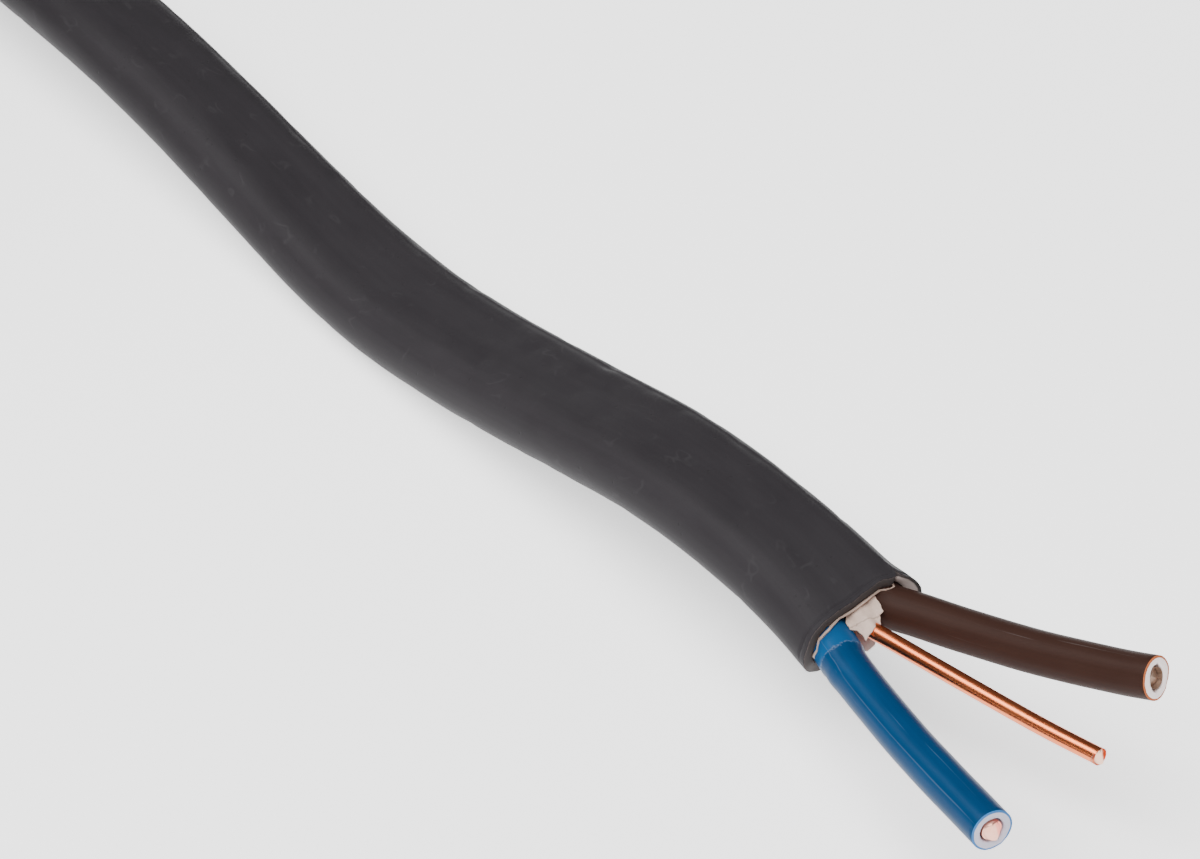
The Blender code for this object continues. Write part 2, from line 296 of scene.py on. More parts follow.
def sweep(loops):
    """A skin over closed loops of points. Each loop holds a section frame, its distance along
    the cable, and its points, whose third number is how far they lie past it. The attribute
    "straight" keeps each point's place in mm, as if the cable were straight. The attribute
    "cut" is 0, or a fourth item of the loop: 1 for a point on a cut face, 2 where it is pale."""
    bm = bmesh.new()
    straight = bm.verts.layers.float_vector.new("straight")
    on_cut = bm.verts.layers.float.new("cut")
    around = len(loops[0][2])
    bmesh.ops.create_grid(bm, x_segments=around, y_segments=len(loops) - 1, size=1)
    bm.verts.ensure_lookup_table()
    for i, vert in enumerate(bm.verts):
        section, distance, points, *cut = loops[i // (around + 1)]
        step = i % (around + 1) % around
        point = points[step]
        vert.co = section @ point
        if cut:
            vert[on_cut] = cut[0][step]
        vert[straight] = (point + Vector((0, 0, distance))) / MM
    painted_highlight_line = [vert for vert in bm.verts if vert.is_boundary]
    bmesh.ops.remove_doubles(bm, verts=painted_highlight_line, dist=0.0001 * MM)
    return bm


arc_steps = 18
flat_steps = 6
notch_angle = 56
notch_half_width = 4


def oval(radius):
    """A flat oval's outline: two round ends of this radius, about the cores' centres. It has
    three more points over the brown core, where the knife left a notch."""
    points = []
    for side in (1, -1):
        angles = [180 * i / arc_steps - 90 for i in range(arc_steps + 1)]
        if side == 1:
            angles += [notch_angle - notch_half_width, notch_angle, notch_angle + notch_half_width]
            angles.sort()
        for angle in map(math.radians, angles):
            points.append(
                side * Vector((core_offset + radius * math.cos(angle), radius * math.sin(angle), 0))
            )
        last = points[-1]
        first_next = Vector((-last.x, last.y, 0))
        for i in range(1, flat_steps):
            points.append(last.lerp(first_next, i / flat_steps))
    return points


def new_piece(name, bm, material):
    """A piece with its place in its mesh, its faces turned outwards and shaded smooth."""
    bmesh.ops.recalc_face_normals(bm, faces=bm.faces)
    mesh = bpy.data.meshes.new(name)
    bm.to_mesh(mesh)
    bm.free()
    mesh.materials.append(material)
    mesh.shade_smooth()
    mesh.set_sharp_from_angle(angle=math.radians(42))
    piece = bpy.data.objects.new(name, mesh)
    bpy.context.scene.collection.objects.link(piece)
    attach(piece, "root")
    return piece


climbs, winding_degrees = winding()
station_degrees = 7.5
coil_places = []
for i in range(int(winding_degrees / station_degrees)):
    coil_places.append(Vector((*place_in_coil(i * station_degrees, climbs), on_edge)))
coil_end = Vector((*place_in_coil(winding_degrees, climbs), on_edge))
route = [Vector((*beside_coil(*place), math.radians(roll))) for *place, roll in cable_route]
route_steps = 16
free_line = curve_through(coil_places[-2:] + [coil_end] + route, route_steps)[2 * route_steps :]
free_length = line_length(free_line)

# The loops of the skin lie closer together near the mouth, and closest in its last millimetre
coarse_step = 0.7 * MM
fine_mouth = 5 * MM
fine_count = 20
finest_mouth = 1 * MM
finest_count = 14
coarse_count = round((free_length - fine_mouth) / coarse_step)
free_distances = [(free_length - fine_mouth) * i / coarse_count for i in range(coarse_count)]
for i in range(fine_count):
    free_distances.append(free_length - fine_mouth + (fine_mouth - finest_mouth) * i / fine_count)
for i in range(finest_count + 1):
    free_distances.append(free_length - finest_mouth * (1 - i / finest_count))
free_places = along(free_line, free_distances)
cable_places = coil_places + free_places
cable_frames = frames_along(cable_places)
cable_distances = [0.0]
for before, after in zip(cable_places, cable_places[1:]):
    cable_distances.append(cable_distances[-1] + (after.xyz - before.xyz).length)
cable_length = cable_distances[-1]
mouth = cable_frames[-1]


def frame_back(depth):
    """The section frame so many mm back from the mouth."""
    step = 0.5
    before, place = along(free_line, [free_length - (depth + step) * MM, free_length - depth * MM])
    return section_frame(place.xyz, (place.xyz - before.xyz).normalized(), place.w)


def bump(value, middle, width):
    """1 in the middle, and down to nothing on both sides of it."""
    return math.exp(-(((value - middle) / width) ** 2))


def smooth(low, high, value):
    """0 up to low, 1 from high on, and smooth between them."""
    t = min(max((value - low) / (high - low), 0), 1)
    return t * t * (3 - 2 * t)


def angle_at_brown(point):
    """Degrees round the oval's end over the brown core: 0 at its side and 90 at its top."""
    return math.degrees(math.atan2(point.y, point.x - core_offset))


def on_arc(point, rise, fall):
    """1 on a stretch of the oval's end over the brown core, 0 elsewhere: it comes up between the
    two angles of the rise, and goes down between those of the fall."""
    if point.x < core_offset:
        return 0.0
    angle = angle_at_brown(point)
    return smooth(*rise, angle) * (1 - smooth(*fall, angle))


def leaf(point):
    """1 on the leaf that the knife left beside the brown core, 0 elsewhere."""
    return on_arc(point, rise=(-50, -25), fall=(14, 55))


def thinned(point):
    """1 where the knife ran slanting through the wall and left it thin, 0 elsewhere."""
    return on_arc(point, rise=(-50, -25), fall=(50, 58))


def bulge(point):
    """1 where the brown core presses the sheath outwards at the mouth, 0 elsewhere."""
    if point.x < core_offset:
        return 0.0
    return bump(angle_at_brown(point), middle=32, width=34)


knife_slant = math.tan(math.radians(6))
top_set_back = 0.25 * MM
top_slant = 0.03
underside_set_back = 0.35 * MM
brown_side_reach = 0.55 * MM
leaf_length = 0.35 * MM
notch_depth = 0.75 * MM
notch_width = 3.5
ragged_depth = 0.08 * MM


def knife_cut(point):
    """How far past the mouth's middle the sheath reaches at a point of its outline."""
    reach = -knife_slant * point.x
    if point.y > 0:
        reach -= (top_set_back + top_slant * point.x) * smooth(0, half_thickness, point.y)
    else:
        reach -= underside_set_back * smooth(0, half_thickness, -point.y)
    reach += brown_side_reach * on_arc(point, rise=(-60, -30), fall=(50, 92))
    reach += leaf_length * leaf(point)
    if point.x > core_offset:
        reach -= notch_depth * bump(angle_at_brown(point), notch_angle, notch_width)
    ragged = noise.noise(Vector((point.x / MM * 1.3, point.y / MM * 1.3, 7.1)))
    return reach + ragged_depth * ragged


def surface_unevenness(point, distance):
    """How far the sheath's surface lies above the plain oval, or below it: long swells, dents,
    and dimples on the flat sides."""
    x, y, s = point.x / MM, point.y / MM, distance / MM
    swell = noise.noise(Vector((x * 0.22, y * 0.3, s * 0.07)))
    dents = noise.noise(Vector((x * 0.5 + 9, y * 0.5, s * 0.22)))
    dimples = noise.noise(Vector((x * 0.8, y * 0.8 + 5, s * 0.55)))
    on_flat = (y * MM / half_thickness) ** 2
    return (0.05 * swell - 0.07 * max(dents - 0.18, 0) - 0.28 * on_flat * max(dimples - 0.2, 0)) * MM


bulge_height = 0.42 * MM
score_depth = 0.08 * MM
score_width = 0.09 * MM
score_back = 0.45 * MM


def arc_middle(point):
    """The place that an oval's point lies round or straight above: a core's centre at the ends."""
    return Vector((math.copysign(min(abs(point.x), core_offset), point.x), 0, 0))


cable_loops = []
outline = oval(half_thickness)
for section, distance in zip(cable_frames, cable_distances):
    near = smooth(free_length - fine_mouth, free_length, distance - cable_length + free_length)
    points = []
    for point in outline:
        outward = (point - arc_middle(point)).normalized()
        moved = point + outward * surface_unevenness(point, distance)
        moved += outward * bulge_height * bulge(point) * near**3
        if point.y > 0:
            moved -= outward * score_depth * bump(cable_length - distance, score_back, score_width)
        moved.z += knife_cut(point) * near
        points.append(moved)
    cable_loops.append((section, distance, points))

# The skin goes on from the outer edge, over the cut face, and back along the bore. The rim
# holds each loop's share of the way inwards, and mm forwards. At the leaf the knife ran
# slanting through the wall, so the cut face there leans back and shows clean, pale PVC.
rim = ((0.03, -0.03), (0.1, 0.01), (0.25, 0.03), (0.5, 0.04), (0.8, 0.03), (0.93, -0.01), (1.0, -0.07))
lean_back = 0.55
wide_bore_depth = 3
bore_depths = (0.3, 0.6, 1, 1.5, 2, 3, 6, 12, 24, 36, 48, 60, 72, 84, bored_length / MM)


def point_outside(point, radius):
    """The point of the sheath's outline beyond a point of an oval with this radius."""
    middle = arc_middle(point)
    return middle + (point - middle) * half_thickness / radius


def opened(depth):
    """1 at the mouth, where the bore is wider, down to 0 so many mm back as it stays wide."""
    return 1 - smooth(0, wide_bore_depth, depth)


def share_of_wall(outer):
    """The share of the sheath's wall by which its bore is wider at the mouth."""
    return 0.1 * thinned(outer) + 0.3 * bulge(outer)


def bore_outline(opening):
    """The bore's outline, from its own size at 0 to that of the mouth at 1."""
    ring = []
    for point in oval(sheath_bore):
        outer = point_outside(point, sheath_bore)
        ring.append(point + (outer - point) * share_of_wall(outer) * opening)
    return ring


edge_points = cable_loops[-1][2]
for inward, forward in rim:
    ring = []
    cut = []
    for outer, inner in zip(edge_points, bore_outline(1)):
        across = outer.lerp(Vector((*inner.xy, outer.z)), inward).xy
        rough = noise.noise(Vector((outer.x / MM * 3, outer.y / MM * 3, inward * 5)))
        leaning = lean_back * inward * thinned(outer)
        ring.append(Vector((*across, outer.z + (forward + 0.04 * rough - leaning) * MM)))
        cut.append(smooth(0.02, 0.1, inward) + smooth(0.15, 0.4, inward) * thinned(outer))
    cable_loops.append((mouth, cable_length, ring, cut))
for depth in bore_depths:
    ring = []
    for inner, edge in zip(bore_outline(opened(depth)), edge_points):
        leaning = lean_back * MM * thinned(edge)
        ring.append(inner + Vector((0, 0, (edge.z - leaning) * opened(depth))))
    cable_loops.append((frame_back(depth), cable_length - depth * MM, ring))

cable_shape = sweep(cable_loops)
bmesh.ops.holes_fill(cable_shape, edges=[e for e in cable_shape.edges if e.is_boundary])


class Value:
    """A number or colour that changes over a surface. Adding, subtracting and multiplying it
    make their nodes."""

    def __init__(self, finish, socket):
        self.finish = finish
        self.socket = socket

    def join(self, operation, first, second):
        return self.finish.node("Math", {"operation": operation}, {0: first, 1: second})

    def __add__(self, other):
        return self.join("ADD", self, other)

    def __radd__(self, other):
        return self.join("ADD", other, self)

    def __sub__(self, other):
        return self.join("SUBTRACT", self, other)

    def __rsub__(self, other):
        return self.join("SUBTRACT", other, self)

    def __mul__(self, other):
        return self.join("MULTIPLY", self, other)

    def __rmul__(self, other):
        return self.join("MULTIPLY", other, self)

    def above(self, low, high):
        """0 below low, 1 above high, and smooth between them."""
        settings = {"interpolation_type": "SMOOTHSTEP"}
        return self.finish.node("MapRange", settings, {"Value": self, "From Min": low, "From Max": high})

    def size(self):
        """How far it is from zero, on either side."""
        return self.join("ABSOLUTE", self, 0)


class Finish:
    """A material while it is made: its nodes, and the shader that they end in."""

    def __init__(self, name, **shader_values):
        self.material = bpy.data.materials.new(name)
        self.material.use_nodes = True
        self.tree = self.material.node_tree
        self.shader = self.tree.nodes["Principled BSDF"]
        self.set(**shader_values)

    def set(self, **values):
        """Give the shader its values, by its sockets' names with _ for each space."""
        for name, value in values.items():
            self.feed(self.shader.inputs[name.replace("_", " ")], value)

    def feed(self, socket, value):
        """Link a value to a socket, or write a number, colour or vector on it."""
        if isinstance(value, Value):
            self.tree.links.new(value.socket, socket)
        elif isinstance(value, tuple) and len(value) == 3 and socket.type == "RGBA":
            socket.default_value = (*value, 1)
        else:
            socket.default_value = value

    def node(self, kind, settings, inputs, output=0):
        """Any other node: its type, its settings, its sockets' values, and the socket to read."""
        made = self.tree.nodes.new("ShaderNode" + kind)
        for name, value in settings.items():
            setattr(made, name, value)
        for name, value in inputs.items():
            self.feed(made.inputs[name], value)
        return Value(self, made.outputs[output])

    def straight(self):
        """The place on the straightened cable, in mm: across, through, and along."""
        return self.node("Attribute", {"attribute_name": "straight"}, {}, "Vector")

    def cut(self):
        """0 on the outside, 1 on a cut face, and 2 where that is pale."""
        return self.node("Attribute", {"attribute_name": "cut"}, {}, "Fac")

    def parts(self, place):
        """The three numbers of a place, as three values."""
        return [self.node("SeparateXYZ", {}, {"Vector": place}, output) for output in ("X", "Y", "Z")]

    def stretched(self, place, factors, offset=(0, 0, 0)):
        """The place with each of its numbers multiplied, and then moved."""
        return self.node("Mapping", {}, {"Vector": place, "Scale": factors, "Location": offset})

    def cloud(self, place, scale, detail=2.0, roughness=0.5):
        """Smooth noise from 0 to 1, with features about 1 / scale across."""
        inputs = {"Vector": place, "Scale": scale, "Detail": detail, "Roughness": roughness}
        return self.node("TexNoise", {}, inputs, "Fac")

    def mix(self, factor, first, second):
        """The first colour where the factor is 0, and the second where it is 1."""
        settings = {"data_type": "RGBA", "clamp_factor": True}
        return self.node("Mix", settings, {0: factor, 6: first, 7: second}, 2)

    def bump(self, height, distance, strength=1.0):
        """Fine relief, this deep between the heights 0 and 1."""
        inputs = {"Height": height, "Distance": distance, "Strength": strength}
        return self.node("Bump", {}, inputs)


# The sheath's skin is dull, with fine lines along it and small pits. Its pale crescents are painted sheen,
# standing in for light caught by shallow dents.
sheath_grey = Finish("sheath_grey", Specular_IOR_Level=0.045)
place = sheath_grey.straight()
mottle = sheath_grey.cloud(sheath_grey.stretched(place, (0.5, 0.5, 0.16)), 1.0, 4)
drawn = sheath_grey.cloud(sheath_grey.stretched(place, (3.2, 3.2, 0.05)), 1.0, 3)
grain = sheath_grey.cloud(place, 9.0, 3, 0.6)
pits = sheath_grey.node("TexVoronoi", {"feature": "F1"}, {"Vector": place, "Scale": 0.9}, "Distance")
pit = 1 - pits.above(0.05, 0.11)
tone = 0.6 * mottle + 0.25 * drawn + 0.15 * grain
grey = sheath_grey.mix(tone, (0.018, 0.0162, 0.018), (0.033, 0.0302, 0.033))
grey = sheath_grey.mix(0.5 * pit, grey, (0.02, 0.019, 0.02))
# Painted sheen: thin pale crescents, in patches, where light would catch shallow dents
swirl = sheath_grey.cloud(sheath_grey.stretched(place, (1, 1, 0.6)), 0.8, 1)
sheen_patches = sheath_grey.cloud(sheath_grey.stretched(place, (1, 1, 1), (9, 4, 2)), 0.45, 2)
painted_dent_sheen = (1 - (swirl - 0.58).size().above(0.005, 0.05)) * sheen_patches.above(0.52, 0.7)
grey = sheath_grey.mix(0.2 * painted_dent_sheen, grey, (0.055, 0.052, 0.055))

# The cut face is duller, with a pale broken line where it starts, and clean PVC at the leaf
cut = sheath_grey.cut()
grey = sheath_grey.mix(cut.above(0.3, 0.9), grey, (0.06, 0.052, 0.05))
cut_line = 1 - (cut - 0.55).size().above(0.2, 0.4)
grey = sheath_grey.mix(0.6 * cut_line * grain.above(0.3, 0.6), grey, (0.16, 0.12, 0.115))
clean = sheath_grey.mix(mottle, (0.42, 0.33, 0.3), (0.72, 0.62, 0.58))
grey = sheath_grey.mix(cut.above(1.2, 1.6), grey, clean)
relief = 0.5 * drawn + 0.35 * grain - 0.8 * pit
sheath_grey.set(Base_Color=grey, Roughness=0.38 + 0.14 * mottle)
sheath_grey.set(Normal=sheath_grey.bump(relief, 0.02 * MM, 0.6))

cable = new_piece("grey_cable", cable_shape, sheath_grey.material)
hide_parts("sheath", "cable_coil")
2 * half_width

# The liner: a thin off-white skin that was run over the cores before the sheath. It tore when
# the sheath came off, so its edge is ragged and a rag of it hangs over the earth wire.
liner_bore = core_radius + layer_clearance
liner_outside = liner_bore + liner_wall
liner_depths = [88, 72, 60, 48, 36, 24, 12, 8, 5, 3, 2, 1.2, 0.6, 0.3, 0.1, 0]
edge_reach = 0.27 * MM
edge_waviness = 0.34 * MM
leaf_set_back = 0.3 * MM
tongue_length = 1.4 * MM
flare_height = 0.24 * MM
flare_depth = 0.35


def torn_edge(outer):
    """How far past the mouth's middle the liner reaches inside a point of the sheath's outline."""
    x, y = outer.x / MM, outer.y / MM
    wave = noise.noise(Vector((x * 0.8, y * 0.8, 3.3))) + 0.6 * noise.noise(Vector((x * 2.9, y * 2.9, 1.7)))
    reach = knife_cut(outer) + edge_reach + edge_waviness * wave - leaf_set_back * thinned(outer)
    if y < 0:
        reach += tongue_length * bump(x, middle=0.3, width=0.7)
    return reach


liner_loops = []
for radius, depths in ((liner_outside, liner_depths), (liner_bore, reversed(liner_depths))):
    for depth in depths:
        near = 1 - smooth(0, fine_mouth / MM, depth)
        flare = 1 - smooth(0, flare_depth, depth)
        points = []
        for point in oval(radius):
            outer = point_outside(point, radius)
            spread = sheath_wall * share_of_wall(outer) * opened(depth)
            if point.y > 0:
                spread += flare_height * flare * (1 - thinned(outer))
            reach = Vector((0, 0, torn_edge(outer) * near))
            points.append(point + (outer - point).normalized() * spread + reach)
        liner_loops.append((frame_back(depth), cable_length - depth * MM, points))
liner_loops.append(liner_loops[0])
liner_shape = sweep(liner_loops)

# The rag's edge, in mm from the mouth's middle: across, up, and forwards
rag_edge = (
    (-1.03, 1.54, 0.27),
    (-0.7, 1.56, -0.2),
    (0.12, 1.6, -0.6),
    (0.83, 1.64, -0.8),
    (1.65, 1.64, -0.8),
    (1.57, 1.57, 0.1),
    (1.46, 1.44, 0.77),
    (1.13, 1.41, 0.9),
    (0.77, 1.3, 1.52),
    (0.53, 1.29, 1.54),
    (-0.13, 1.26, 1.72),
    (-0.65, 1.2, 1.9),
    (-0.59, 1.33, 1.28),
    (-0.68, 1.39, 0.97),
    (-1.06, 1.44, 0.74),
    (-1.05, 1.51, 0.41),
)
rag_thickness = 0.1 * MM
crease_at = 0.8
crease_slant = 0.12

rag_shape = bmesh.new()
rag_verts = [rag_shape.verts.new(Vector(point) * MM) for point in rag_edge]
rag_face = rag_shape.faces.new(rag_verts)
bmesh.ops.triangulate(rag_shape, faces=[rag_face])
for _ in range(3):
    bmesh.ops.subdivide_edges(rag_shape, edges=rag_shape.edges[:], cuts=1, use_grid_fill=True)
bmesh.ops.recalc_face_normals(rag_shape, faces=rag_shape.faces)
for vert in rag_shape.verts:
    x, y, z = vert.co / MM
    fold = 0.13 * math.cos(3.2 * x - 0.4) - 0.13
    crumple = noise.noise(Vector((x * 2.1, z * 2.1, 5)))
    crease = smooth(crease_at - 0.08, crease_at + 0.06, z - crease_slant * x)
    vert.co.y += (fold + 0.12 * crumple + 0.07 - 0.09 * crease) * MM
    vert.co.x += 0.05 * noise.noise(Vector((x * 4, z * 4, 8))) * MM
    vert.co.z += 0.05 * noise.noise(Vector((x * 4, z * 4, 2))) * MM
swept = bmesh.ops.extrude_face_region(rag_shape, geom=rag_shape.faces[:])["geom"]
lower = [item for item in swept if isinstance(item, bmesh.types.BMVert)]
bmesh.ops.translate(rag_shape, verts=lower, vec=(0, -rag_thickness, -0.02 * MM))
straight = rag_shape.verts.layers.float_vector.new("straight")
for vert in rag_shape.verts:
    vert[straight] = (vert.co + Vector((0, 0, cable_length))) / MM
    vert.co = mouth @ vert.co

liner_white = Finish("liner_white", Roughness=0.62, Specular_IOR_Level=0.35)
place = liner_white.straight()
stain = liner_white.cloud(place, 0.8, 3)
chalk = liner_white.cloud(place, 6.0, 3, 0.65)
white = liner_white.mix(0.7 * stain + 0.3 * chalk, (0.36, 0.25, 0.19), (0.72, 0.56, 0.48))
across, through, distance = liner_white.parts(place)
# Painted light: the liner's lower side, whose tongue shows in shade below the mouth, is painted paler
painted_light_underneath = 1 - through.above(-1.3, -0.6)
white = liner_white.mix(0.8 * painted_light_underneath, white, (0.95, 0.88, 0.84))
# Painted shade: a dark line along the rag's crease, on its upper face
from_crease = distance - crease_slant * across - (cable_length / MM + crease_at) + 0.25 * (chalk - 0.5)
painted_crease_shade = (1 - from_crease.size().above(0.01, 0.06)) * through.above(0.9, 1.1)
white = liner_white.mix(0.55 * painted_crease_shade, white, (0.2, 0.14, 0.11))
liner_white.set(Base_Color=white, Normal=liner_white.bump(chalk, 0.03 * MM, 0.7))

liner = new_piece("torn_liner", liner_shape, liner_white.material)
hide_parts("bedding")
rag = new_piece("liner_rag", rag_shape, liner_white.material)

# The two insulated cores: white PVC with a thin coloured skin, run on in one pass over solid
# copper wire and cut square at the end. They spread apart as soon as they leave the sheath.
brown_route = (
    (158.9, 3.4, 8.74),
    (162.2, 4.7, 8.97),
    (167.2, 6.2, 9.89),
    (172.7, 7.9, 11.27),
    (175.3, 8.7, 12.08),
)
blue_route = (
    (160.4, -2.8, 7.59),
    (166.2, -3.9, 7.69),
    (171.0, -4.7, 7.97),
    (177.0, -5.6, 8.41),
)
earth_route = (
    (160.6, 0.6, 8.68),
    (165.7, 1.3, 8.95),
    (172.2, 2.1, 9.47),
    (177.1, 2.8, 9.98),
)
core_start = bored_length / MM - 2.5
core_step = 0.4 * MM
skin_thickness = 0.13 * MM


def core_frames(offset, across, up, points):
    """Frames and distances along a core, from the bore's end to its own cut end. At the mouth it
    has already moved so far across and up, on its way out to its route."""
    line = []
    for depth in (core_start, 72, 60, 48, 36, 24, 16, 10, 6, 3.5, 1.5, 0):
        moved = 1 - smooth(0, 6, depth)
        line.append(frame_back(depth) @ Vector((offset + across * moved, up * moved, 0)))
    line += [beside_coil(*point) for point in points]
    fine = curve_through(line, 12)
    total = line_length(fine)
    count = round(total / core_step)
    places = along(fine, [total * i / count for i in range(count + 1)])
    wide = frame_back(core_start).col[0].xyz
    frames = []
    distances = []
    for i, place in enumerate(places):
        direction = (places[min(i + 1, count)] - places[max(i - 1, 0)]).normalized()
        wide = (wide - direction * wide.dot(direction)).normalized()
        turned = Matrix((wide, direction.cross(wide), direction)).transposed().to_4x4()
        frames.append(Matrix.Translation(place) @ turned)
        distances.append(total * i / count)
    return frames, distances


def circle(radius, sides=36):
    """The outline of a round section."""
    angles = [2 * math.pi * i / sides for i in range(sides)]
    return [Vector((radius * math.cos(a), radius * math.sin(a), 0)) for a in angles]


def insulation_shape(frames, distances, swelling, hole_across, hole_up):
    """A core's insulation: outside, rounded cut end, bore, and the hidden end inside the cable.
    The cutters left the hole on the cut end this much wider and higher than the wire."""
    end, length = frames[-1], distances[-1]
    bore_radius = wire_diameter / 2 + layer_clearance
    skin = []
    for section, distance in zip(frames, distances):
        points = []
        for point in circle(core_radius):
            points.append(point * (1 + swelling(point, distance) / core_radius))
        skin.append((section, distance, points))
    loops = list(skin)
    # Each ring's share of the core's radius, and mm forwards
    cut_end = ((0.99, 0.02), (0.965, 0.035), (0.92, 0.04), (0.89, 0.045), (0.8, 0.05), (0.65, 0.05))
    for share, forward in cut_end:
        ring = []
        for point in skin[-1][2]:
            rough = noise.noise(Vector((point.x / MM * 2.2, point.y / MM * 2.2, share * 4)))
            ring.append(point * share + Vector((0, 0, (forward + 0.05 * rough) * MM)))
        inside_skin = 1 if share < 1 - skin_thickness / core_radius else 0
        loops.append((end, length, ring, [inside_skin] * len(ring)))
    # How much wider each ring is than the torn hole, and mm forwards
    hole = ((0.1, 0.04), (0.04, 0.01), (0.0, -0.06), (0.0, -0.25), (0.0, -0.5))
    for grown, forward in hole:
        ring = []
        for point in circle(bore_radius):
            rough = noise.noise(Vector((point.x / MM * 3, point.y / MM * 3, grown * 6 + length * 90)))
            wider = 1 + grown + 0.12 * rough
            spread = Vector((point.x * hole_across, point.y * hole_up, 0)) * wider
            ring.append(spread + Vector((0, 0, (forward + 0.03 * rough) * MM)))
        loops.append((end, length, ring, [1] * len(ring)))
    for section, distance in reversed(list(zip(frames, distances))[:-3:2]):
        ring = circle(bore_radius)
        loops.append((section, distance, ring, [1] * len(ring)))
    loops.append(loops[0])
    return sweep(loops)


brown_frames, brown_distances = core_frames(core_offset, across=0.45 * MM, up=0.3 * MM, points=brown_route)
blue_frames, blue_distances = core_frames(-core_offset, across=-0.05 * MM, up=0.1 * MM, points=blue_route)
brown_length = brown_distances[-1]
blue_length = blue_distances[-1]
pressed_length = 2.2 * MM


def brown_swelling(point, distance):
    """Thinner on one side near the end, where the cutters pressed it."""
    uneven = 0.012 * noise.noise(Vector((point.x / MM, point.y / MM, distance / MM * 0.3)))
    near = smooth(brown_length - pressed_length, brown_length, distance)
    pressed = bump(math.degrees(math.atan2(point.y, point.x)), middle=-35, width=30)
    return (uneven - 0.16 * pressed * near) * MM


# The knife marked the blue core's skin a little past the mouth
mouth_to_route = 3.9 * MM
outside_length = mouth_to_route + line_length([beside_coil(*point) for point in blue_route])
blue_ridge = blue_length - outside_length + 1.9 * MM


def blue_swelling(point, distance):
    """Thicker up to a torn edge near the mouth, where the knife pushed the skin back."""
    uneven = 0.015 * noise.noise(Vector((point.x / MM, point.y / MM, distance / MM * 0.3)))
    sleeve = 1 - smooth(blue_ridge - 0.02 * MM, blue_ridge + 0.15 * MM, distance)
    ridge = bump(distance, blue_ridge - 0.1 * MM, 0.12 * MM)
    lump = bump(distance, blue_ridge + 0.9 * MM, 0.8 * MM) * max(0, -point.x / core_radius)
    return (uneven + 0.1 * sleeve + 0.07 * ridge + 0.12 * lump) * MM


def core_finish(name, skin_dark, skin_light, cut_skin, white, length, rough, torn_at=0, highlight_line_across=0):
    """Coloured skin with fine drawing lines, over white where the end is cut. A core that the knife marked
    is rubbed pale up to a torn edge near the mouth, and a painted highlight, a thin pale line, runs along
    its upper side."""
    finish = Finish(name, Specular_IOR_Level=0.07)
    place = finish.straight()
    across, through, distance = finish.parts(place)
    at_end = distance.above(length / MM - 0.02, length / MM)
    lines = finish.cloud(finish.stretched(place, (4, 4, 0.08)), 1.0, 3)
    scratches = finish.cloud(finish.stretched(place, (9, 9, 0.12), (3, 1, 0)), 1.0, 2)
    blotch = finish.cloud(finish.stretched(place, (0.7, 0.7, 0.25)), 1.0, 3)
    fine = finish.cloud(place, 12.0, 2)
    skin = finish.mix(0.5 * lines + 0.5 * blotch, skin_dark, skin_light)
    paler = tuple(0.75 * c + 0.09 for c in skin_light)
    skin = finish.mix(0.4 * scratches.above(0.66, 0.74), skin, paler)
    if torn_at:
        # Painted highlight: a thin pale line along the core's upper side, where the light catches it
        painted_highlight_line = through.above(0, 0.1) * (1 - (across - highlight_line_across).size().above(0.008, 0.03))
        skin = finish.mix(0.35 * painted_highlight_line * lines.above(0.35, 0.55), skin, paler)
        past_tear = distance - torn_at / MM + 0.5 * (finish.cloud(place, 2.5, 3) - 0.5)
        rubbed = 1 - past_tear.above(-0.05, 0.02)
        skin = finish.mix(0.45 * rubbed, skin, tuple(1.8 * c + 0.012 for c in skin_light))
        torn = (1 - past_tear.size().above(0.02, 0.13)) * fine.above(0.38, 0.62)
        skin = finish.mix(0.6 * torn, skin, tuple(1.1 * c + 0.12 for c in skin_light))
    chalk = finish.mix(finish.cloud(place, 3.0, 3), white, tuple(min(1.0, c * 1.12) for c in white))
    skin = finish.mix(at_end, skin, cut_skin)
    color = finish.mix(finish.cut().above(0.4, 0.8), skin, chalk)
    finish.set(Base_Color=color, Roughness=rough + 0.12 * blotch + 0.25 * at_end)
    finish.set(Normal=finish.bump(0.7 * lines + 0.3 * fine, 0.012 * MM, 0.6))
    return finish


brown_finish = core_finish(
    "brown_skin",
    skin_dark=(0.022, 0.0096, 0.007),
    skin_light=(0.04, 0.0188, 0.0138),
    cut_skin=(0.42, 0.12, 0.045),
    white=(0.9, 0.79, 0.77),
    length=brown_length,
    rough=0.42,
)
brown_core_shape = insulation_shape(
    brown_frames, brown_distances, brown_swelling, hole_across=0.95, hole_up=1.2
)
brown_insulation = new_piece("brown_core", brown_core_shape, brown_finish.material)
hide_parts("brown_insulation")

blue_finish = core_finish(
    "blue_skin",
    skin_dark=(0.0002, 0.022, 0.065),
    skin_light=(0.0005, 0.045, 0.13),
    cut_skin=(0.05, 0.17, 0.4),
    white=(0.5, 0.48, 0.57),
    length=blue_length,
    rough=0.27,
    torn_at=blue_ridge,
    highlight_line_across=-1.29,
)
blue_core_shape = insulation_shape(
    blue_frames, blue_distances, blue_swelling, hole_across=1.15, hole_up=1.1
)
blue_insulation = new_piece("blue_core", blue_core_shape, blue_finish.material)
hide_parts("blue_insulation")

# The copper wires: solid drawn copper, the middle one bare as the earth. The cutters pinched
# the blue core's wire, broke the brown core's off short, and left the earth wire a chisel tip.
wire_sides = 28


